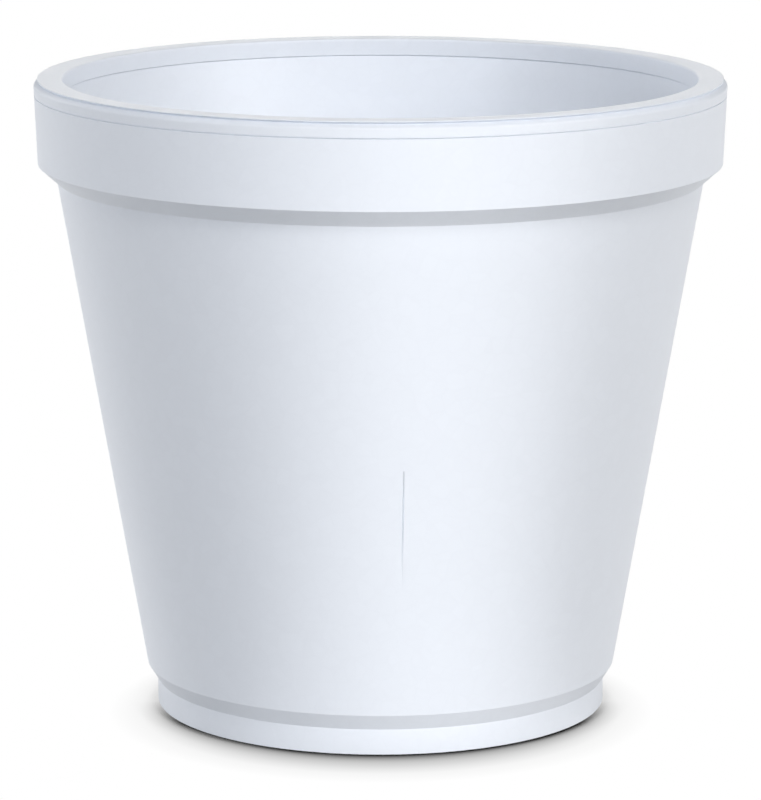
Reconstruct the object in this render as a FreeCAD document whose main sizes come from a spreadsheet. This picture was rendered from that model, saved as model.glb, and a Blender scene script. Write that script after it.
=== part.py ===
import FreeCAD, Part
import Sketcher
import math
import os

# An empty foam cup, moulded in one piece, standing on its foot ring.
# Frame: +Z up, origin at the centre of the ring that it stands on, millimetres.
#
# From the foot up, the outside is a short upright foot, a bevelled heel, a straight
# cone for the body, a slanting underside and a tall collar.  The rim's crown is flat
# and falls over a rounded shoulder to a narrow ledge, on which a lid would sit.
# The inside is an upright band under the mouth, then a cone parallel to the body.

# Driving sizes: the name in the sheet, the value in mm, and what it measures.
SIZES = [
    ("cup_height", "99.7", "table to the crown of the rim"),
    ("rim_radius", "54.0", "widest place, at the top of the collar"),
    ("rim_width", "4.2", "mouth to the widest place"),
    ("crown_flat", "2.5", "width of the rim's flat crown"),
    ("shoulder_drop", "0.6", "crown down to the lid ledge"),
    ("ledge_width", "0.6", "width of the lid ledge"),
    ("ledge_fall", "0.35", "how far the lid ledge falls outwards"),
    ("collar_height", "12.25", "collar's wall, top edge to lower edge"),
    ("collar_draft", "0.5", "how far the collar narrows going down"),
    ("collar_overhang", "2.95", "collar's lower edge out from the body"),
    ("underside_height", "2.6", "height of the slanting underside"),
    ("foot_radius", "35.55", "outside of the foot"),
    ("foot_height", "4.0", "upright foot"),
    ("heel_width", "1.6", "heel's bevel, measured across"),
    ("heel_height", "2.7", "heel's bevel, measured up"),
    ("wall", "2.85", "thickness of the body's wall"),
    ("mouth_band", "2.5", "height of the upright band under the mouth"),
    ("floor_thickness", "3.0", "floor, between its two faces"),
    ("recess_depth", "2.0", "hollow under the floor"),
    ("recess_draft", "0.7", "how far the hollow narrows going up"),
    ("foot_ring", "3.0", "width of the ring that stands on the table"),
    ("gate_radius", "5.0", "round mark under the floor where the mould is filled"),
    ("gate_height", "0.4", "how far that mark stands out"),
    ("parting_drop", "2.35", "crown down to the mould's parting line"),
    ("parting_groove", "0.12", "radius of the parting line's groove"),
    ("cut_overrun", "1.0", "how far a cutting outline runs past the rim"),
    ("mouth_round", "0.5", "rounding of the mouth's edge"),
    ("collar_round", "0.6", "rounding of the collar's lower edge"),
    ("cove_round", "0.5", "hollow rounding where the underside meets the body"),
    ("heel_round", "6.0", "rounding between body and heel"),
    ("instep_round", "1.5", "hollow rounding between heel and foot"),
    ("foot_round", "0.5", "rounding of the foot's outer edge"),
    ("floor_round", "4.0", "hollow rounding round the floor inside"),
    ("recess_round", "0.8", "hollow rounding of the recess under the floor"),
]

# Places that the outlines share, as expressions on the sheet.
MOUTH_RADIUS = "Sizes.rim_radius - Sizes.rim_width"
LEDGE_HEIGHT = "Sizes.cup_height - Sizes.shoulder_drop"
COLLAR_TOP = LEDGE_HEIGHT + " - Sizes.ledge_fall"
COLLAR_FOOT = COLLAR_TOP + " - Sizes.collar_height"
COLLAR_FOOT_RADIUS = "Sizes.rim_radius - Sizes.collar_draft"
BODY_TOP = COLLAR_FOOT + " - Sizes.underside_height"
BODY_TOP_RADIUS = COLLAR_FOOT_RADIUS + " - Sizes.collar_overhang"
HEEL = "Sizes.foot_height + Sizes.heel_height"
HEEL_RADIUS = "Sizes.foot_radius + Sizes.heel_width"
FLOOR = "Sizes.recess_depth + Sizes.floor_thickness"
BAND_FOOT = "Sizes.cup_height - Sizes.mouth_band"
RECESS_RADIUS = "Sizes.foot_radius - Sizes.foot_ring"
PARTING_HEIGHT = "Sizes.cup_height - Sizes.parting_drop"
PARTING_RADIUS = ("Sizes.rim_radius - Sizes.collar_draft / Sizes.collar_height"
                  " * (Sizes.parting_drop - Sizes.shoulder_drop - Sizes.ledge_fall)")

# How the sketcher numbers its own origin point, its two axes and a side's ends.
ORIGIN_POINT = (-1, 1)
RADIUS_AXIS = -1
CUP_AXIS = -2
START, END, CENTRE = 1, 2, 3

# A curved side starts out rising by this share of its chord, and is then settled.
FIRST_RISE = 0.125


def fill_sheet(doc):
    """Put the driving sizes into the sheet, one to a row: name, value, meaning."""
    sheet = doc.addObject("Spreadsheet::Sheet", "Sizes")
    for row, (name, value, meaning) in enumerate(SIZES, start=1):
        sheet.set("A%d" % row, name)
        sheet.set("B%d" % row, value)
        sheet.set("C%d" % row, meaning)
        sheet.setAlias("B%d" % row, name)
    doc.recompute()


def origin_plane(body, role):
    """One of the body's own origin planes."""
    return next(plane for plane in body.Origin.OriginFeatures if plane.Role == role)


def new_sketch(body, name, role):
    """An empty sketch on one of the body's origin planes."""
    sketch = body.newObject("Sketcher::SketchObject", name)
    sketch.AttachmentSupport = [(origin_plane(body, role), "")]
    sketch.MapMode = "FlatFace"
    return sketch


def bind(sketch, name, expression, kind, *where):
    """Add a dimension that follows an expression on the sheet."""
    value = sketch.evalExpression(expression)
    index = sketch.addConstraint(Sketcher.Constraint(kind, *where, value))
    sketch.renameConstraint(index, name)
    sketch.setExpression("Constraints." + name, expression)


class Outline:
    """A closed outline in the plane of the cup's axis: x is the radius, y the height.

    A corner is (name, radius, height), the last two as expressions, and "0" puts it
    on the axis or on the table.  Where the radius starts with "~", it is only near
    its place, and other constraints settle it.  The side that starts at the corner
    named in curved is an arc, which runs smoothly into the side after it.
    """

    def __init__(self, body, name, corners, curved=None):
        self.sketch = new_sketch(body, name, "XZ_Plane")
        self.names = [corner for corner, _, _ in corners]
        self.sides = [self._draw(side) for side in self._first_sides(corners, curved)]
        for index, (corner, radius, height) in enumerate(corners):
            self._join(index, smooth=self.names[index - 1] == curved)
            self._hold(corner, self.sides[index], radius, height)

    def _first_sides(self, corners, curved):
        places = [self._evaluate(radius, height) for _, radius, height in corners]
        for name, start, end in zip(self.names, places, places[1:] + places[:1]):
            if name == curved:
                chord = end - start
                outwards = FreeCAD.Vector(chord.y, -chord.x, 0)
                yield Part.Arc(start, start + chord / 2 + outwards * FIRST_RISE, end)
            else:
                yield Part.LineSegment(start, end)

    def _evaluate(self, radius, height):
        expressions = (radius.lstrip("~"), height)
        return FreeCAD.Vector(*map(self.sketch.evalExpression, expressions), 0)

    def _draw(self, side):
        return self.sketch.addGeometry(side, False)

    def _join(self, index, smooth):
        ends = (self.sides[index - 1], END, self.sides[index], START)
        kind = "Tangent" if smooth else "Coincident"
        self.sketch.addConstraint(Sketcher.Constraint(kind, *ends))

    def _hold(self, corner, side, radius, height):
        if radius == "0":
            self._put_on(CUP_AXIS, side)
        elif not radius.startswith("~"):
            bind(self.sketch, corner + "_radius", radius, "DistanceX", *ORIGIN_POINT, side, START)
        if height == "0":
            self._put_on(RADIUS_AXIS, side)
        else:
            bind(self.sketch, corner + "_height", height, "DistanceY", *ORIGIN_POINT, side, START)

    def _put_on(self, axis, side):
        self.sketch.addConstraint(Sketcher.Constraint("PointOnObject", side, START, axis))

    def side_from(self, corner):
        """The side that starts at a corner."""
        return self.sides[self.names.index(corner)]

    def place(self, corner):
        """The solved place of a corner: its radius and its height."""
        point = self.sketch.getPoint(self.side_from(corner), START)
        return point.x, point.y


def turn(body, kind, name, sketch):
    """Revolve a sketch a full turn about the cup's axis, to add or to cut."""
    feature = body.newObject("PartDesign::" + kind, name)
    feature.Profile = sketch
    feature.ReferenceAxis = (sketch, ["V_Axis"])
    feature.Angle = 360
    body.Document.recompute()


def is_ring(edge):
    """Whether an edge is a level circle round the cup's axis."""
    curve = edge.Curve
    return isinstance(curve, Part.Circle) and math.hypot(curve.Center.x, curve.Center.y) < 1e-6


def nearest_ring(shape, radius, height):
    """The name of the level circle that runs nearest to a radius and a height."""
    rings = [number for number, edge in enumerate(shape.Edges) if is_ring(edge)]

    def miss(number):
        circle = shape.Edges[number].Curve
        return math.hypot(circle.Radius - radius, circle.Center.z - height)

    return "Edge%d" % (min(rings, key=miss) + 1)


def round_ring(body, size, place):
    """Round the circular edge at a place by the radius that the sheet calls size."""
    base = body.Tip
    fillet = body.newObject("PartDesign::Fillet", size)
    fillet.Base = (base, [nearest_ring(base.Shape, *place)])
    fillet.setExpression("Radius", "Sizes." + size)
    body.Document.recompute()


def make_outside(body):
    """The whole outside as one turned solid, then its edges rounded."""
    outline = Outline(body, "outside_outline", [
        ("foot_centre", "0", "0"),
        ("foot_edge", "Sizes.foot_radius", "0"),
        ("foot_top", "Sizes.foot_radius", "Sizes.foot_height"),
        ("heel", HEEL_RADIUS, HEEL),
        ("body_top", BODY_TOP_RADIUS, BODY_TOP),
        ("collar_foot", COLLAR_FOOT_RADIUS, COLLAR_FOOT),
        ("collar_top", "Sizes.rim_radius", COLLAR_TOP),
        ("ledge", "Sizes.rim_radius - Sizes.ledge_width", LEDGE_HEIGHT),
        ("crown", MOUTH_RADIUS + " + Sizes.crown_flat", "Sizes.cup_height"),
        ("crown_centre", "0", "Sizes.cup_height"),
    ], curved="ledge")
    turn(body, "Revolution", "outside", outline.sketch)
    round_ring(body, "collar_round", outline.place("collar_foot"))
    round_ring(body, "cove_round", outline.place("body_top"))
    round_ring(body, "heel_round", outline.place("heel"))
    round_ring(body, "instep_round", outline.place("foot_top"))
    round_ring(body, "foot_round", outline.place("foot_edge"))


def make_inside(body):
    """The space that holds the drink: its cone runs parallel to the body's wall."""
    outline = Outline(body, "inside_outline", [
        ("floor_centre", "0", FLOOR),
        ("floor_edge", "~" + HEEL_RADIUS + " - Sizes.wall", FLOOR),
        ("wall_top", "~" + BODY_TOP_RADIUS, BAND_FOOT),
        ("band", MOUTH_RADIUS, BAND_FOOT),
        ("above_mouth", MOUTH_RADIUS, "Sizes.cup_height + Sizes.cut_overrun"),
        ("above_centre", "0", "Sizes.cup_height + Sizes.cut_overrun"),
    ])
    sketch = outline.sketch
    outer_wall = outer_wall_line(sketch)
    inner_wall = outline.side_from("floor_edge")
    sketch.addConstraint(Sketcher.Constraint("Parallel", outer_wall, inner_wall))
    bind(sketch, "wall_thickness", "Sizes.wall", "Distance", outer_wall, START, inner_wall)
    turn(body, "Groove", "inside", sketch)
    mouth = (sketch.evalExpression(MOUTH_RADIUS), sketch.evalExpression("Sizes.cup_height"))
    round_ring(body, "mouth_round", mouth)
    round_ring(body, "floor_round", outline.place("floor_edge"))


def outer_wall_line(sketch):
    """A construction line down the outside of the body's wall."""
    ends = [("heel", HEEL_RADIUS, HEEL), ("body_top", BODY_TOP_RADIUS, BODY_TOP)]
    places = [FreeCAD.Vector(sketch.evalExpression(radius), sketch.evalExpression(height), 0)
              for _, radius, height in ends]
    line = sketch.addGeometry(Part.LineSegment(*places), True)
    for end, (name, radius, height) in zip((START, END), ends):
        bind(sketch, name + "_radius", radius, "DistanceX", *ORIGIN_POINT, line, end)
        bind(sketch, name + "_height", height, "DistanceY", *ORIGIN_POINT, line, end)
    return line


def make_recess(body):
    """The hollow under the floor, which leaves the ring that the cup stands on."""
    outline = Outline(body, "recess_outline", [
        ("opening_centre", "0", "0"),
        ("opening_edge", RECESS_RADIUS, "0"),
        ("ceiling_edge", RECESS_RADIUS + " - Sizes.recess_draft", "Sizes.recess_depth"),
        ("ceiling_centre", "0", "Sizes.recess_depth"),
    ])
    turn(body, "Groove", "recess", outline.sketch)
    round_ring(body, "recess_round", outline.place("ceiling_edge"))


def draw_circle(sketch, radius):
    """A circle about the sketch's origin, with its radius bound to the sheet."""
    value = sketch.evalExpression(radius)
    upwards = FreeCAD.Vector(0, 0, 1)
    circle = sketch.addGeometry(Part.Circle(FreeCAD.Vector(), upwards, value), False)
    bind(sketch, "circle_radius", radius, "Radius", circle)
    return circle


def make_gate_mark(body):
    """The low round mark under the floor, left where the mould is filled with beads."""
    sketch = new_sketch(body, "gate_outline", "XY_Plane")
    sketch.setExpression("AttachmentOffset.Base.z", "Sizes.recess_depth")
    circle = draw_circle(sketch, "Sizes.gate_radius")
    sketch.addConstraint(Sketcher.Constraint("Coincident", circle, CENTRE, *ORIGIN_POINT))
    mark = body.newObject("PartDesign::Pad", "gate_mark")
    mark.Profile = sketch
    mark.setExpression("Length", "Sizes.gate_height")
    mark.Reversed = True
    body.Document.recompute()


def make_parting_line(body):
    """The fine groove round the collar where the two halves of the mould met."""
    sketch = new_sketch(body, "parting_outline", "XZ_Plane")
    circle = draw_circle(sketch, "Sizes.parting_groove")
    bind(sketch, "wall_radius", PARTING_RADIUS, "DistanceX", *ORIGIN_POINT, circle, CENTRE)
    bind(sketch, "line_height", PARTING_HEIGHT, "DistanceY", *ORIGIN_POINT, circle, CENTRE)
    turn(body, "Groove", "parting_line", sketch)


def check_model(doc, body):
    """Stop if a step failed, an outline is loose, a cut missed or the solid is broken."""
    for thing in doc.Objects:
        if "Invalid" in thing.State or "Error" in thing.State:
            raise RuntimeError(thing.Name + " failed: " + ", ".join(thing.State))
        if thing.TypeId == "Sketcher::SketchObject" and not thing.FullyConstrained:
            raise RuntimeError(thing.Name + " isn't fully held")
        if thing.TypeId == "PartDesign::Groove" and not cuts(thing):
            raise RuntimeError(thing.Name + " cuts nothing")
    shape = body.Shape
    if shape.isNull() or not shape.isValid() or len(shape.Solids) != 1:
        raise RuntimeError(body.Label + " isn't one sound solid")


def cuts(feature):
    """Whether a cutting feature leaves less than it began with."""
    return feature.Shape.Volume < feature.BaseFeature.Shape.Volume


def make_cup(doc):
    """The cup as one body."""
    body = doc.addObject("PartDesign::Body", "cup")
    body.Label = "cup"
    body.Placement = FreeCAD.Placement()
    make_outside(body)
    make_inside(body)
    make_recess(body)
    make_gate_mark(body)
    make_parting_line(body)
    return body


def main():
    doc = FreeCAD.newDocument("foam_cup")
    fill_sheet(doc)
    body = make_cup(doc)
    doc.recompute()
    check_model(doc, body)
    os.makedirs("parts", exist_ok=True)
    body.Shape.exportStep("parts/" + body.Label + ".step")
    print("%s: %.1f mm3" % (body.Label, body.Shape.Volume))


main()
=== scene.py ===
# %% [markdown]
# # A white foam cup, from a frame to a finished picture
#
# The real cup is moulded in one shot.  Small beads of expanded polystyrene are blown
# into a metal mould, steam swells them until they weld together, and the cup that
# drops out is one light, closed, matt white piece.  So there is only one piece to
# model here, and all the work is in its outline, its skin and the light on it.
#
# ## Load the frame
#
# The frame is the measured solid of the cup.  It fixes where things are and how large
# they are: metres, +Z up, and the origin at the centre of the ring that the cup
# stands on.  Nothing below moves or resizes it.  Everything is fitted to its box.

# %% Load the frame
import math

import bpy
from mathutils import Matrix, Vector


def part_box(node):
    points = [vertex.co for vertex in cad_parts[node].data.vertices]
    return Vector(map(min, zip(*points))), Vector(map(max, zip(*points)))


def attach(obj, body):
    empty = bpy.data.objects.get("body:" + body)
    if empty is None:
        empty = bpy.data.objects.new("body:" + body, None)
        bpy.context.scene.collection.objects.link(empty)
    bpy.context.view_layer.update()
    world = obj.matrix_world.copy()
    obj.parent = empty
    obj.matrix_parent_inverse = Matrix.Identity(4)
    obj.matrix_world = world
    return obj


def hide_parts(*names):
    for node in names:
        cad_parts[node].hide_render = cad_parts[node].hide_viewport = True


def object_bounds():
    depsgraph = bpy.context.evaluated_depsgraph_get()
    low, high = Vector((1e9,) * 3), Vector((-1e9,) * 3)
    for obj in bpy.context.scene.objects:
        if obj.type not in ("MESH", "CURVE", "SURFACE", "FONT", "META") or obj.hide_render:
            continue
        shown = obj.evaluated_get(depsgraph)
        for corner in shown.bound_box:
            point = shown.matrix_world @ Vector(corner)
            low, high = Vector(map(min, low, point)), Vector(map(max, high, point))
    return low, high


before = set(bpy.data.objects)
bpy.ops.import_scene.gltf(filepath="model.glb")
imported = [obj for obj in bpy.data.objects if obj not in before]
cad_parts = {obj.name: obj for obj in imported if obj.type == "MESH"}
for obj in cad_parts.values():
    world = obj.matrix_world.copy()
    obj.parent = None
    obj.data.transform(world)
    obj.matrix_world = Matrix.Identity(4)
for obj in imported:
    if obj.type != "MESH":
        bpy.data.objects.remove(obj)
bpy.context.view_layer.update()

MM = 0.001
lowest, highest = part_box("cup")
CUP_HEIGHT = highest.z
RIM_RADIUS = 54.0 * MM
print("frame box, mm:", [round(side / MM, 2) for side in highest - lowest])

# %% [markdown]
# ## The outline, ring by ring
#
# Every level cut through the cup is a circle, so the cup is known once its outline is
# known: how far the skin is from the axis, at each height.  One could spin such an
# outline about the axis, or model the wall as a flat strip and bend it.  Here a ring
# is pushed up and scaled from corner to corner, as one would draw up a pot on a wheel,
# because each corner of the mould is then one named ring that can be found again.
#
# The rim is where the eye goes.  Its crown is flat and stands a little proud of a
# narrow sloping ledge, with a fine slot between, which a lid would click into.  Below
# hangs the collar, a tall band with a slanting underside, which stiffens the mouth and
# keeps fingers off the heat.

# %% Sizes of the outline
FOOT_RADIUS = 35.55 * MM
FOOT_HEIGHT = 4.0 * MM
FOOT_RING = 3.0 * MM
HEEL_WIDTH = 1.6 * MM
HEEL_HEIGHT = 2.55 * MM
COLLAR_HEIGHT = 12.25 * MM
COLLAR_DRAFT = 0.5 * MM
COLLAR_OVERHANG = 2.95 * MM
UNDERSIDE_HEIGHT = 2.6 * MM
RIM_WIDTH = 4.55 * MM
CROWN_WIDTH = 3.95 * MM
CROWN_LIP = 0.12 * MM
LID_SLOT = 0.36 * MM
LID_SLOT_DEPTH = 0.45 * MM
LEDGE_FALL = 0.47 * MM
MOUTH_BAND = 2.85 * MM
BAND_RELIEF = 0.22 * MM
WALL = 2.85 * MM
FLOOR_THICKNESS = 3.0 * MM
RECESS_DEPTH = 2.0 * MM
RECESS_DRAFT = 0.7 * MM
GATE_RADIUS = 5.0 * MM
GATE_HEIGHT = 0.4 * MM
PARTING_DROP = 2.45 * MM
PARTING_WIDTH = 0.18 * MM
PARTING_DEPTH = 0.25 * MM

heel_radius = FOOT_RADIUS + HEEL_WIDTH
heel_top = FOOT_HEIGHT + HEEL_HEIGHT
ledge_top = CUP_HEIGHT - CROWN_LIP - LID_SLOT
collar_top = ledge_top - LEDGE_FALL
collar_foot = collar_top - COLLAR_HEIGHT
collar_foot_radius = RIM_RADIUS - COLLAR_DRAFT
body_top = collar_foot - UNDERSIDE_HEIGHT
body_top_radius = collar_foot_radius - COLLAR_OVERHANG
body_slope = (body_top_radius - heel_radius) / (body_top - heel_top)
mouth_radius = RIM_RADIUS - RIM_WIDTH
crown_radius = mouth_radius + CROWN_WIDTH
band_foot = CUP_HEIGHT - MOUTH_BAND
floor_top = RECESS_DEPTH + FLOOR_THICKNESS
print("body leans out by", round(math.degrees(math.atan(body_slope)), 2), "degrees")


def inner_radius(height):
    """Radius of the inner wall, which runs parallel to the outer one."""
    across = WALL * math.hypot(1, body_slope)
    return heel_radius + (height - heel_top) * body_slope - across


def collar_radius(height):
    """Radius of the collar's wall, which narrows a little going down."""
    return RIM_RADIUS - COLLAR_DRAFT * (collar_top - height) / COLLAR_HEIGHT


# %% [markdown]
# Two stretches of the outline are curved rather than cornered, so they get rings of
# their own from a short formula.  One is the slot under the crown's lip.  The other is
# the parting line round the collar, left where two parts of the mould met.  A shallow
# slot would catch the light on its lower lip and shine.  One that is deeper than it is
# wide stays in its own shade, as the real line does.

# %% The curved stretches
SLOT_RINGS = 6


def slot(name, start, end, depth):
    """Rings round a slot, sunk to its depth between two points of the outline."""
    half = (Vector(end) - Vector(start)) / 2
    out = Vector((half.y, -half.x)).normalized()
    for step in range(SLOT_RINGS + 1):
        angle = math.pi * step / SLOT_RINGS
        place = Vector(start) + half * (1 - math.cos(angle)) - out * depth * math.sin(angle)
        yield "%s_%d" % (name, step), place.x, place.y, 0


parting_low = CUP_HEIGHT - PARTING_DROP - PARTING_WIDTH / 2
parting_high = parting_low + PARTING_WIDTH
parting = [(collar_radius(height), height) for height in (parting_low, parting_high)]
lid_slot = [(crown_radius, height) for height in (ledge_top, ledge_top + LID_SLOT)]

# Each ring: its name, its radius, its height, and how much its corner is rounded.
OUTLINE = [
    ("gate_mark", GATE_RADIUS, RECESS_DEPTH - GATE_HEIGHT, 0.15 * MM),
    ("gate_root", GATE_RADIUS, RECESS_DEPTH, 0),
    ("recess_ceiling", FOOT_RADIUS - FOOT_RING - RECESS_DRAFT, RECESS_DEPTH, 0.8 * MM),
    ("recess_mouth", FOOT_RADIUS - FOOT_RING, 0, 0.3 * MM),
    ("foot_edge", FOOT_RADIUS, 0, 0.12 * MM),
    ("instep", FOOT_RADIUS, FOOT_HEIGHT, 0.25 * MM),
    ("heel", heel_radius, heel_top, 0.3 * MM),
    ("body_top", body_top_radius, body_top, 0.08 * MM),
    ("collar_foot", collar_foot_radius, collar_foot, 0.1 * MM),
    *slot("parting", *parting, PARTING_DEPTH),
    ("collar_top", RIM_RADIUS, collar_top, 0.45 * MM),
    *slot("lid_slot", *lid_slot, LID_SLOT_DEPTH),
    ("crown_edge", crown_radius, CUP_HEIGHT, 0),
    ("mouth", mouth_radius, CUP_HEIGHT, 0.4 * MM),
    ("band_foot", mouth_radius, band_foot, 0.2 * MM),
    ("wall_top", mouth_radius + BAND_RELIEF, band_foot, 0),
    ("floor_edge", inner_radius(floor_top), floor_top, 4.0 * MM),
    ("floor_middle", GATE_RADIUS, floor_top, 0),
]
print(len(OUTLINE), "rings from the filling mark to the middle of the floor")

# %% [markdown]
# ## Draw up the wall
#
# The start is a plain circle, no thicker than a thread, at the filling mark under the
# floor.  In edit mode it is extruded straight up and then scaled about the axis, once
# for each ring of the outline.  It passes out along the underside, up the outside,
# over the rim, down the inside and in over the floor, so the two skins of the wall
# are one closed sheet.  The circle left open at each end is drawn together to a point.
#
# Each operator acts on whatever is selected, and loading the frame left that selected.
# So everything is deselected before the first circle is added.

# %% Draw up the wall
RING_POINTS = 320
ON_THE_RING = 0.002 * MM


def start_ring(name, radius, height):
    """A first circle at its height, in edit mode and selected."""
    bpy.ops.object.select_all(action="DESELECT")
    bpy.ops.mesh.primitive_circle_add(vertices=RING_POINTS, radius=radius,
                                      fill_type="NOTHING", location=(0, 0, height))
    piece = bpy.context.active_object
    piece.name = name
    bpy.ops.object.transform_apply(location=True, rotation=False, scale=False)
    bpy.ops.object.mode_set(mode="EDIT")
    bpy.ops.mesh.select_mode(type="VERT")
    bpy.ops.mesh.select_all(action="SELECT")
    return piece


def draw_to(start, end):
    """Extrude the selected ring from one radius and height to the next."""
    rise = end[1] - start[1]
    bpy.ops.mesh.extrude_region_move(TRANSFORM_OT_translate={"value": (0, 0, rise)})
    share = end[0] / start[0]
    bpy.ops.transform.resize(value=(share, share, 1), center_override=(0, 0, 0))


def close_ring():
    """Draw one more ring in and gather it to a point on the axis."""
    bpy.ops.mesh.extrude_region_move(TRANSFORM_OT_translate={"value": (0, 0, 0)})
    bpy.ops.mesh.merge(type="CENTER")


def select_ring(piece, radius, height):
    """Select only the points that lie on one ring, found by its place."""
    bpy.ops.object.mode_set(mode="EDIT")
    bpy.ops.mesh.select_mode(type="VERT")
    bpy.ops.mesh.select_all(action="DESELECT")
    bpy.ops.object.mode_set(mode="OBJECT")
    for point in piece.data.vertices:
        across = math.hypot(point.co.x, point.co.y) - radius
        point.select = math.hypot(across, point.co.z - height) < ON_THE_RING
    bpy.ops.object.mode_set(mode="EDIT")


rings = [(radius, height) for _, radius, height, _ in OUTLINE]
cup = start_ring("foam_cup", *rings[0])
for start, end in zip(rings, rings[1:]):
    draw_to(start, end)
close_ring()
select_ring(cup, *rings[0])
close_ring()
bpy.ops.mesh.select_all(action="SELECT")
bpy.ops.mesh.normals_make_consistent(inside=False)
bpy.ops.object.mode_set(mode="OBJECT")
print("drawn up:", len(cup.data.vertices), "points")

# %% [markdown]
# ## Round the corners
#
# A steam mould has no knife edges: the beads can't fill them, and the cup would not
# let go.  Each corner ring is bevelled into a small arc.  The bevel tool asks how far
# it may cut back each side, and a mould maker thinks in the radius of the arc.  The
# two are tied by the angle that the outline turns through at that corner: the cut is
# the radius times the tangent of half the turn.

# %% Round the corners
ARC_STEPS = 6


def turn_at(before, corner, after):
    """The angle that the outline turns through at a corner."""
    first = Vector(corner) - Vector(before)
    second = Vector(after) - Vector(corner)
    return first.angle(second)


def round_corner(piece, index, rounding):
    """Bevel the ring at one corner of the outline into an arc of that radius."""
    turn = turn_at(*rings[index - 1:index + 2]) if index else math.pi / 2
    select_ring(piece, *rings[index])
    bpy.ops.mesh.select_mode(type="EDGE")
    bpy.ops.mesh.bevel(offset_type="OFFSET", offset=rounding * math.tan(turn / 2),
                       segments=ARC_STEPS, profile=0.5, affect="EDGES")
    bpy.ops.object.mode_set(mode="OBJECT")


for index, (name, _, _, rounding) in enumerate(OUTLINE):
    if rounding:
        round_corner(cup, index, rounding)
        print("rounded %-14s by %.2f mm" % (name, rounding / MM))

# %% [markdown]
# ## The hairline in the front
#
# This cup has one small flaw, as moulded foam often does: a fine upright crease low on
# the front, about two centimetres long and a quarter of a millimetre across, where the
# beads didn't quite weld.  A painted line would vanish in raking light, so it is cut.
# It runs along one of the upright edges that the rings already have, the fourth to the
# right of the middle.  The front of the body is sliced level a few times, then upright
# a little to each side of that edge, and the points on the edge are pushed in towards
# the axis, but not at the crease's ends, so that it fades out as the real one does.

# %% Cut the hairline
CREASE_TURN = 4 * math.tau / RING_POINTS
CREASE_WIDTH = 0.26 * MM
CREASE_DEPTH = 0.26 * MM
CREASE_LEVELS = [27.0 * MM, 30.0 * MM, 34.0 * MM, 38.0 * MM, 42.0 * MM, 46.0 * MM]
CREASE_SHARES = [0.0, 0.4, 0.7, 1.0, 0.8, 0.0]
CREASE_CLEARANCE = 1.5 * MM
FACES_OUT = 0.9
CUT_THRESHOLD = 0.001 * MM
ON_THE_LINE = 0.01 * MM
outwards = Vector((math.sin(CREASE_TURN), -math.cos(CREASE_TURN), 0))
sideways = Vector((math.cos(CREASE_TURN), math.sin(CREASE_TURN), 0))


def select_front(piece, low, high):
    """Select the outer wall's faces that lie either side of the crease."""
    bpy.ops.object.mode_set(mode="OBJECT")
    for face in piece.data.polygons:
        middle = face.center
        near = abs(middle.dot(sideways)) < CREASE_CLEARANCE and middle.dot(outwards) > 0
        outer = face.normal.dot(outwards) > FACES_OUT
        face.select = near and outer and low < middle.z < high
    bpy.ops.object.mode_set(mode="EDIT")
    bpy.ops.mesh.select_mode(type="FACE")


def slice_through(place, normal):
    """Cut the selected faces along a plane, and keep both sides."""
    bpy.ops.mesh.bisect(plane_co=place, plane_no=normal, use_fill=False,
                        threshold=CUT_THRESHOLD)


bpy.ops.object.mode_set(mode="EDIT")
bpy.ops.mesh.select_all(action="DESELECT")
for level in CREASE_LEVELS:
    select_front(cup, heel_top, body_top)
    slice_through((0, 0, level), (0, 0, 1))
for offset in (-CREASE_WIDTH / 2, CREASE_WIDTH / 2):
    select_front(cup, CREASE_LEVELS[0], CREASE_LEVELS[-1])
    slice_through(sideways * offset, sideways)
bpy.ops.object.mode_set(mode="OBJECT")

found = 0
for point in cup.data.vertices:
    if abs(point.co.dot(sideways)) < ON_THE_LINE and point.co.dot(outwards) > 0:
        for level, share in zip(CREASE_LEVELS, CREASE_SHARES):
            outside = point.co.dot(outwards) > inner_radius(level) + WALL / 2
            if outside and abs(point.co.z - level) < ON_THE_LINE:
                point.co -= outwards * CREASE_DEPTH * share
                found += 1
print("crease:", found, "points, pushed in by up to", round(CREASE_DEPTH / MM, 2), "mm")

# %% [markdown]
# ## Shade the skin
#
# The faces are flat facets, so their shading is smoothed wherever they meet at a small
# angle.  A long smooth wall beside a tiny arc then goes wrong: the arc's tilted facets
# drag the shading of the whole wall with them.  A Weighted Normal modifier lets the
# large faces win, so the walls stay straight and only the arcs turn.

# %% Shade the skin
SHARP_ANGLE = math.radians(32)
LARGE_FACES_WIN = 100
bpy.ops.object.select_all(action="DESELECT")
cup.select_set(True)
bpy.context.view_layer.objects.active = cup
bpy.ops.object.shade_smooth_by_angle(angle=SHARP_ANGLE)
weighted = cup.modifiers.new("large faces win", "WEIGHTED_NORMAL")
weighted.keep_sharp = True
weighted.weight = LARGE_FACES_WIN
bpy.ops.object.modifier_apply(modifier=weighted.name)
print("faces:", len(cup.data.polygons))

# %% [markdown]
# ## The skin's finish
#
# Seen close, the skin of a foam cup is a mosaic: beads two or three millimetres across,
# squashed into many-sided cells against the polished mould, each a touch higher, paler
# or duller than its neighbour, with a faint line where two meet.  From arm's length all
# of that melts into a cool matt white.  A picture could be wrapped round the cup, but
# it would stretch on the cone and show a seam.  A Voronoi pattern worked out in the
# cup's own space is made of just such cells and runs over every edge without a join.
#
# The mosaic is kept as a node group, so that it has its own dials.  First come the
# small helpers that every material here is put together with.

# %% Helpers for node trees


def new_group(name, inputs, outputs):
    """An empty shader node group with named dials, and its two end nodes."""
    group = bpy.data.node_groups.new(name, "ShaderNodeTree")
    for label, kind, default in inputs:
        socket = group.interface.new_socket(name=label, in_out="INPUT", socket_type=kind)
        socket.default_value = default
    for label, kind in outputs:
        group.interface.new_socket(name=label, in_out="OUTPUT", socket_type=kind)
    start = group.nodes.new("NodeGroupInput")
    end = group.nodes.new("NodeGroupOutput")
    return group, start, end


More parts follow.
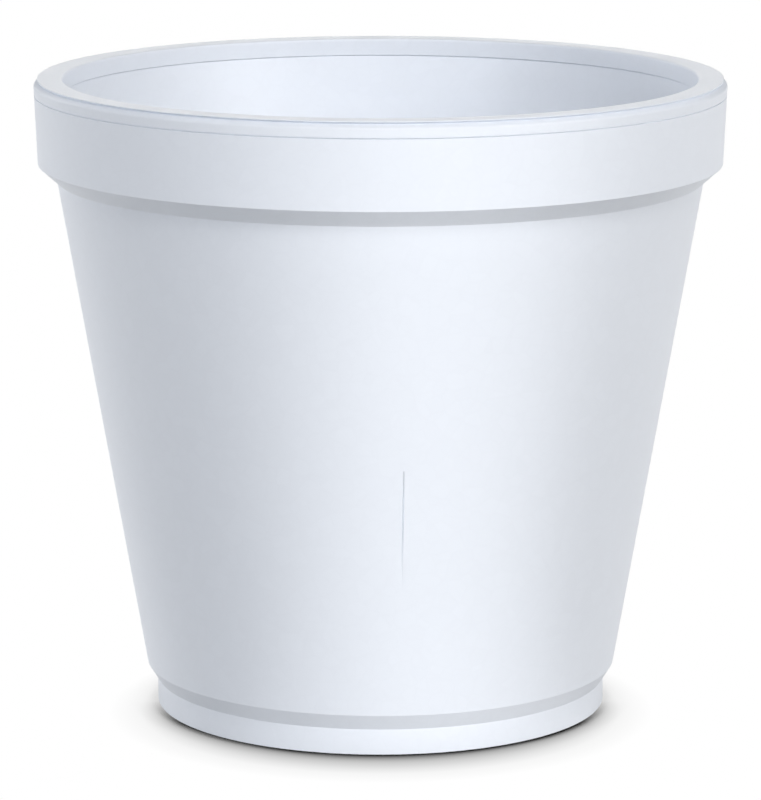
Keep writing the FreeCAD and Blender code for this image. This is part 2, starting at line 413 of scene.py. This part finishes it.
def feed(tree, socket, value):
    """Link a socket to another, or set it to a plain number or colour."""
    if isinstance(value, bpy.types.NodeSocket):
        tree.links.new(value, socket)
    else:
        socket.default_value = value


def math_node(tree, operation, first, second):
    """A Math node fed by two sockets or numbers; returns its result."""
    node = tree.nodes.new("ShaderNodeMath")
    node.operation = operation
    feed(tree, node.inputs[0], first)
    feed(tree, node.inputs[1], second)
    return node.outputs["Value"]


def remap(tree, value, low, high, to_low, to_high):
    """Carry a value from one range into another, held at the ends."""
    node = tree.nodes.new("ShaderNodeMapRange")
    tree.links.new(value, node.inputs["Value"])
    for label, number in (("From Min", low), ("From Max", high),
                          ("To Min", to_low), ("To Max", to_high)):
        node.inputs[label].default_value = number
    return node.outputs["Result"]


print("helpers: new_group, feed, math_node, remap")

# %% [markdown]
# Two Voronoi textures share the same cells.  One gives the distance to the nearest
# border, which makes the seam, and a dome that rises from it.  The other gives each
# cell a colour of its own, and so a chance tone and a chance step in height.

# %% The bead mosaic as a node group
BEADS_PER_METRE = 420.0
SEAM_REACH = 0.09
DOME_REACH = 0.35
BEAD_STEP = 0.4


def make_bead_mosaic():
    """Cells of welded beads: a mask for their seams, a tone and a height for each."""
    group, start, end = new_group(
        "bead mosaic",
        [("Vector", "NodeSocketVector", (0, 0, 0)),
         ("Beads per Metre", "NodeSocketFloat", BEADS_PER_METRE)],
        [("Seam", "NodeSocketFloat"), ("Tone", "NodeSocketFloat"),
         ("Height", "NodeSocketFloat")])
    edge = group.nodes.new("ShaderNodeTexVoronoi")
    edge.feature = "DISTANCE_TO_EDGE"
    cell = group.nodes.new("ShaderNodeTexVoronoi")
    cell.feature = "F1"
    for texture in (edge, cell):
        group.links.new(start.outputs["Vector"], texture.inputs["Vector"])
        group.links.new(start.outputs["Beads per Metre"], texture.inputs["Scale"])
    seam = remap(group, edge.outputs["Distance"], 0.0, SEAM_REACH, 1.0, 0.0)
    chance = group.nodes.new("ShaderNodeSeparateColor")
    group.links.new(cell.outputs["Color"], chance.inputs["Color"])
    dome = remap(group, edge.outputs["Distance"], 0.0, DOME_REACH, 0.0, 1.0)
    step = math_node(group, "MULTIPLY", chance.outputs["Green"], BEAD_STEP)
    group.links.new(seam, end.inputs["Seam"])
    group.links.new(chance.outputs["Red"], end.inputs["Tone"])
    group.links.new(math_node(group, "ADD", dome, step), end.inputs["Height"])
    return group


bead_mosaic = make_bead_mosaic()
print("bead mosaic:", len(bead_mosaic.nodes), "nodes")

# %% [markdown]
# The material is a plain Principled BSDF with that mosaic laid into it very lightly.
# Its colour moves by about one part in a hundred from bead to bead, the seams are a
# shade greyer, and the height is worth a few thousandths of a millimetre.  The skin is
# matt, but pressed against polished metal, so it keeps a broad soft gleam.  Real foam
# also lets a little light soak in and out again.  Over a wall as plain as this one it
# would only soften the shade a touch, so it is left out.

# %% The foam material
FOAM_COLOUR = (0.85, 0.885, 0.945, 1)
PALE_COLOUR = (0.86, 0.895, 0.955, 1)
SEAM_COLOUR = (0.82, 0.85, 0.91, 1)
SEAM_SHARE = 0.2
FOAM_ROUGHNESS = (0.42, 0.48)
FOAM_SPECULAR = 0.6
BEAD_RELIEF = 0.01 * MM
BUMP_STRENGTH = 0.12


def mix_colours(tree, share, first, second, blend="MIX"):
    """Two colours, given as sockets or values, laid over each other by a share."""
    node = tree.nodes.new("ShaderNodeMix")
    node.data_type = "RGBA"
    node.blend_type = blend
    feed(tree, node.inputs["Factor"], share)
    under, over = [socket for socket in node.inputs if socket.type == "RGBA"]
    feed(tree, under, first)
    feed(tree, over, second)
    return next(socket for socket in node.outputs if socket.type == "RGBA")


def make_foam():
    """Matt white moulded foam."""
    material = bpy.data.materials.new("foam")
    material.use_nodes = True
    tree = material.node_tree
    shader = tree.nodes["Principled BSDF"]
    shader.inputs["Specular IOR Level"].default_value = FOAM_SPECULAR
    place = tree.nodes.new("ShaderNodeTexCoord")
    mosaic = tree.nodes.new("ShaderNodeGroup")
    mosaic.node_tree = bead_mosaic
    mosaic.inputs["Beads per Metre"].default_value = BEADS_PER_METRE
    tree.links.new(place.outputs["Object"], mosaic.inputs["Vector"])
    toned = mix_colours(tree, mosaic.outputs["Tone"], FOAM_COLOUR, PALE_COLOUR)
    seams = math_node(tree, "MULTIPLY", mosaic.outputs["Seam"], SEAM_SHARE)
    seamed = mix_colours(tree, seams, toned, SEAM_COLOUR)
    tree.links.new(seamed, shader.inputs["Base Color"])
    gleam = remap(tree, mosaic.outputs["Tone"], 0.0, 1.0, *FOAM_ROUGHNESS)
    tree.links.new(gleam, shader.inputs["Roughness"])
    bump = tree.nodes.new("ShaderNodeBump")
    bump.inputs["Strength"].default_value = BUMP_STRENGTH
    bump.inputs["Distance"].default_value = BEAD_RELIEF
    tree.links.new(mosaic.outputs["Height"], bump.inputs["Height"])
    tree.links.new(bump.outputs["Normal"], shader.inputs["Normal"])
    return material


foam = make_foam()
cup.data.materials.clear()
cup.data.materials.append(foam)
print("foam:", len(foam.node_tree.nodes), "nodes")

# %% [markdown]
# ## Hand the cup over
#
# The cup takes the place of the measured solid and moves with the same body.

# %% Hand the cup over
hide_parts("cup")
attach(cup, "root")
cup_low, cup_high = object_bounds()
cup_sides = Vector(cup_high) - Vector(cup_low)
print("finished cup, mm:", [round(side / MM, 2) for side in cup_sides])

# %% [markdown]
# ## The table under it
#
# A wide sheet of board, large enough to fill the view, so that no edge or horizon cuts
# through behind the cup.  A plain pale board lit by soft boxes would be the simple way.
# This one is staged instead, and a learner should know it: a Light Path node, which
# knows what kind of ray has arrived, gives each kind its own answer.
#
# - To the eye it glows clean white, with a painted shade under the cup.
# - To the soft light that bounces about it is a dull grey card, so that it doesn't fill
#   in the shade under the collar.
# - In a gleam it is a bright fan that opens to the front.
#
# The price is paid in other views.  From the side or from above, the gleam bleaches the
# front of the wall, and the shade stays at the front of the foot.
#
# The helpers come first: a ramp of tones, and tones that go by distance from the cup.

# %% Helpers for the table
ROUNDS_REACH = 50 * MM


def ramp(tree, value, stops):
    """A colour ramp through the given places and tones."""
    node = tree.nodes.new("ShaderNodeValToRGB")
    while len(node.color_ramp.elements) < len(stops):
        node.color_ramp.elements.new(1.0)
    for element, (place, tone) in zip(node.color_ramp.elements, stops):
        element.position = place
        element.color = (tone, tone, tone, 1)
    tree.links.new(value, node.inputs["Fac"])
    return node.outputs["Color"]


def rounds(tree, stops, forward=0.0):
    """Tones by distance in millimetres from the axis, or from a point in front of it."""
    place = tree.nodes.new("ShaderNodeTexCoord")
    moved = tree.nodes.new("ShaderNodeVectorMath")
    moved.operation = "ADD"
    moved.inputs[1].default_value = (0, forward, 0)
    tree.links.new(place.outputs["Object"], moved.inputs[0])
    away = tree.nodes.new("ShaderNodeVectorMath")
    away.operation = "LENGTH"
    tree.links.new(moved.outputs["Vector"], away.inputs[0])
    share = math_node(tree, "DIVIDE", away.outputs["Value"], ROUNDS_REACH)
    return ramp(tree, share, [(mm * MM / ROUNDS_REACH, tone) for mm, tone in stops])


def times(tree, first, second):
    """Two tones multiplied."""
    return mix_colours(tree, 1.0, first, second, blend="MULTIPLY")


print("tones by distance reach", round(ROUNDS_REACH / MM), "mm from the axis")

# %% [markdown]
# ## The shade under the cup
#
# It is painted shade, drawn in two parts, multiplied together.  One is a thin dark line
# where
# the foot touches, from ambient occlusion: how much of the sky close by is hidden.  The
# line is painted fainter behind.  The other is a soft round pool of painted shade, its
# middle a few millimetres nearer the front than the foot's.  A lamp casts neither of them.

# %% The shade under the cup
CONTACT_REACH = 6 * MM
# Share of sky that is open, and the tone that it gives.
CONTACT_TONES = [(0.5, 0.02), (0.53, 0.15), (0.555, 0.42), (0.59, 0.62), (0.66, 0.78),
                 (0.77, 0.89), (0.95, 1.0)]
# How far in front of the cup's middle the contact line starts to deepen, and is whole,
# and what is left of it behind.
CONTACT_FRONT = (4 * MM, 18 * MM)
CONTACT_BEHIND = 0.15
POOL_FORWARD = 8 * MM
# Distance from the middle of the pool in millimetres, and the tone there.
POOL_TONES = [(27, 0.28), (29, 0.36), (31, 0.55), (33.5, 0.68), (35.5, 0.80), (38, 0.92),
              (43, 1.0)]
NO_SHADE = (1, 1, 1, 1)


def shade_under_cup(tree):
    """Tone of the board to the eye: a painted contact line and a soft pool of painted
    shade.
    """
    sky = tree.nodes.new("ShaderNodeAmbientOcclusion")
    sky.inputs["Distance"].default_value = CONTACT_REACH
    line = ramp(tree, sky.outputs["AO"], CONTACT_TONES)
    place = tree.nodes.new("ShaderNodeTexCoord")
    axes = tree.nodes.new("ShaderNodeSeparateXYZ")
    tree.links.new(place.outputs["Object"], axes.inputs["Vector"])
    begins, whole = CONTACT_FRONT
    share = remap(tree, axes.outputs["Y"], -begins, -whole, CONTACT_BEHIND, 1.0)
    contact = mix_colours(tree, share, NO_SHADE, line)
    return times(tree, contact, rounds(tree, POOL_TONES, POOL_FORWARD))


print("shade: a contact line and a pool of", len(POOL_TONES), "tones")

# %% [markdown]
# ## The gleam on the wall
#
# A wall that leans outwards mirrors the table and not the room, so no soft box can put a
# gleam on it.  In a studio a white card is laid on the table in front of such a cup.
# Here the board does more than a card could: seen in a gleam, and only then, it shines
# several times brighter than white, in a fan that opens to the front and a little to
# the right.  That draws the long pale band down the front of the wall.  The shares of
# the fan began as a least-squares fit and were then changed.

# %% The gleam on the wall
GLEAM_TURN = 13
GLEAM_PEAK = 5.5
# Degrees to either side of the fan's middle, and the share of the peak there.
GLEAM_FAN = [(62, 0.17), (45, 0.47), (25, 0.78), (10, 1.0)]
# Distance from the axis where the board comes out of the shade of the foot, and the
# tone there.
GLEAM_START = [(36, 0.55), (44, 1.0)]
FAN_MIDDLE = 0.5


def fan_of_light(tree):
    """Tone of the board in a gleam, brightest along one direction from the cup."""
    place = tree.nodes.new("ShaderNodeTexCoord")
    turned = tree.nodes.new("ShaderNodeMapping")
    turned.inputs["Rotation"].default_value = (0, 0, math.radians(90 - GLEAM_TURN))
    tree.links.new(place.outputs["Object"], turned.inputs["Vector"])
    angle = tree.nodes.new("ShaderNodeTexGradient")
    angle.gradient_type = "RADIAL"
    tree.links.new(turned.outputs["Vector"], angle.inputs["Vector"])
    left = [(FAN_MIDDLE - degrees / 360, share) for degrees, share in GLEAM_FAN]
    right = [(FAN_MIDDLE + degrees / 360, share) for degrees, share in reversed(GLEAM_FAN)]
    fan = ramp(tree, angle.outputs["Fac"], left + right)
    return times(tree, fan, rounds(tree, GLEAM_START))


print("gleam:", GLEAM_PEAK, "times white, turned", GLEAM_TURN, "degrees to the right")

# %% [markdown]
# ## The board's material
#
# Three shaders are stacked by the kind of ray.  The base is a dull grey board, the fan
# takes its place for a glossy ray, and the white with its painted shade for a ray from the
# eye.
# Emission sampling is switched off, so that the glow isn't treated as a lamp.

# %% The board's material
TABLE_COLOUR = (0.42, 0.42, 0.42, 1)
TABLE_ROUGHNESS = 0.9
TABLE_SPECULAR = 0.0
PLAIN_WHITE = 1.0


def emission(tree, colour, strength):
    """An Emission shader fed by a colour socket."""
    node = tree.nodes.new("ShaderNodeEmission")
    node.inputs["Strength"].default_value = strength
    tree.links.new(colour, node.inputs["Color"])
    return node.outputs["Emission"]


def choose(tree, share, first, second):
    """The first shader, or the second where the share is one."""
    node = tree.nodes.new("ShaderNodeMixShader")
    tree.links.new(share, node.inputs["Fac"])
    tree.links.new(first, node.inputs[1])
    tree.links.new(second, node.inputs[2])
    return node.outputs["Shader"]


def make_table_top():
    """White to the eye, dull grey to soft light, and a bright fan in a gleam."""
    material = bpy.data.materials.new("pale board")
    material.use_nodes = True
    material.cycles.emission_sampling = "NONE"
    tree = material.node_tree
    board = tree.nodes["Principled BSDF"]
    board.inputs["Base Color"].default_value = TABLE_COLOUR
    board.inputs["Roughness"].default_value = TABLE_ROUGHNESS
    board.inputs["Specular IOR Level"].default_value = TABLE_SPECULAR
    to_eye = emission(tree, shade_under_cup(tree), PLAIN_WHITE)
    in_gleam = emission(tree, fan_of_light(tree), GLEAM_PEAK)
    path = tree.nodes.new("ShaderNodeLightPath")
    look = choose(tree, path.outputs["Is Glossy Ray"], board.outputs["BSDF"], in_gleam)
    look = choose(tree, path.outputs["Is Camera Ray"], look, to_eye)
    tree.links.new(look, tree.nodes["Material Output"].inputs["Surface"])
    return material


table_top = make_table_top()
print("board:", len(table_top.node_tree.nodes), "nodes")

# %% [markdown]
# The board itself is one flat square, which isn't part of the cup.

# %% Lay the table
TABLE_SIZE = 8.0
bpy.ops.object.select_all(action="DESELECT")
bpy.ops.mesh.primitive_plane_add(size=TABLE_SIZE, location=(0, 0, 0))
table = bpy.context.active_object
table.name = "table"
table.data.materials.append(table_top)
print("table:", TABLE_SIZE, "m across")

# %% [markdown]
# ## The camera
#
# A long lens, a good way back: it flattens the cup's two ellipses and keeps the walls
# nearly straight, and it looks down a little, just enough to see over the near rim and
# a short way down the far inner wall.

# %% The camera
CAMERA_DISTANCE = 694.4 * MM
CAMERA_OVER_RIM = 86.9 * MM
CAMERA_DIP = math.radians(11.28)
LENS_MM = 201.4
NEAREST_SEEN = 50 * MM

eye = (0, -CAMERA_DISTANCE, CUP_HEIGHT + CAMERA_OVER_RIM)
bpy.ops.object.camera_add(location=eye, rotation=(math.pi / 2 - CAMERA_DIP, 0, 0))
camera = bpy.context.active_object
camera.name = "camera"
camera.data.lens = LENS_MM
camera.data.clip_start = NEAREST_SEEN
bpy.context.scene.camera = camera
print("camera:", [round(value, 3) for value in eye], "lens", LENS_MM, "mm")

# %% [markdown]
# ## The light
#
# White foam on white board is drawn almost by light alone.  Four soft boxes stand round
# the front: two high ones light the crown and reach into the cup, and a low one to each
# side models the wall, which is palest right of the middle and falls away on the left.
# The right one is the stronger, and the left one a little cooler, so that the shaded
# side is a cool grey.  Two weaker ones behind pick out the rim.
#
# The last three stand low, beside and behind the cup.  They are kept out of
# reflections, and only lift the two outer edges and save the back from going black.
#
# Each is given by its turn round the cup, in degrees to the right of the eye, and by
# its lift above the table.  The powers of the first seven began as a least-squares fit
# of pictures lit by one lamp each.  They were rounded and then changed, by less
# than half a watt each.  The last two were chosen one by one.

# %% The light
AIM = Vector((0, 0, CUP_HEIGHT / 2))
LIGHT_DISTANCE = 1.5
WHITE = (1.0, 1.0, 1.0)
COOL = (0.94, 0.99, 1.07)
# Each soft box: its name, turn, lift, width and height in metres, power in watts, its
# colour, and whether it shows in reflections.
SOFT_BOXES = [
    ("high_front", 0, 42, 0.62, 0.62, 7.8, WHITE, True),
    ("high_right", 30, 42, 0.62, 0.62, 4.7, WHITE, True),
    ("right", 54, 20, 0.5, 0.5, 7.3, WHITE, True),
    ("left", -36, 20, 0.5, 0.5, 4.4, COOL, True),
    ("rim", 180, 14, 0.6, 0.4, 2.4, WHITE, True),
    ("rim_left", -140, 20, 0.5, 0.5, 1.9, WHITE, True),
    ("edge_left", -100, 5, 0.5, 0.3, 3.1, WHITE, False),
    ("behind_left", -135, 5, 0.5, 0.3, 10.0, WHITE, False),
    ("behind_right", 135, 5, 0.5, 0.3, 8.0, WHITE, False),
]


def soft_box(name, turn, lift, width, height, power, colour, gleams):
    """A soft light that faces the cup, placed by its turn and its lift."""
    turn = math.radians(turn)
    lift = math.radians(lift)
    level = math.cos(lift)
    away = Vector((math.sin(turn) * level, -math.cos(turn) * level, math.sin(lift)))
    bpy.ops.object.light_add(type="AREA", location=AIM + away * LIGHT_DISTANCE)
    light = bpy.context.active_object
    light.name = name
    light.rotation_euler = away.to_track_quat("Z", "Y").to_euler()
    light.data.shape = "RECTANGLE"
    light.data.size = width
    light.data.size_y = height
    light.data.energy = power
    light.data.color = colour
    light.visible_camera = False
    light.visible_glossy = gleams


for box in SOFT_BOXES:
    soft_box(*box)
print("soft boxes:", len(SOFT_BOXES))

# %% [markdown]
# The room itself is dark, so that the soft boxes and the board's gleam are all the light
# there is, but where the eye looks past the edge of the table it should find the same
# white.  Colours are shown as they are, with no film-like curve, so that white stays
# white.

# %% The room
world = bpy.data.worlds.new("studio")
bpy.context.scene.world = world
world.use_nodes = True
room = world.node_tree
path = room.nodes.new("ShaderNodeLightPath")
room.nodes["Background"].inputs["Color"].default_value = (1, 1, 1, 1)
room.links.new(path.outputs["Is Camera Ray"], room.nodes["Background"].inputs["Strength"])
bpy.context.scene.view_settings.view_transform = "Standard"
print("view transform:", bpy.context.scene.view_settings.view_transform)
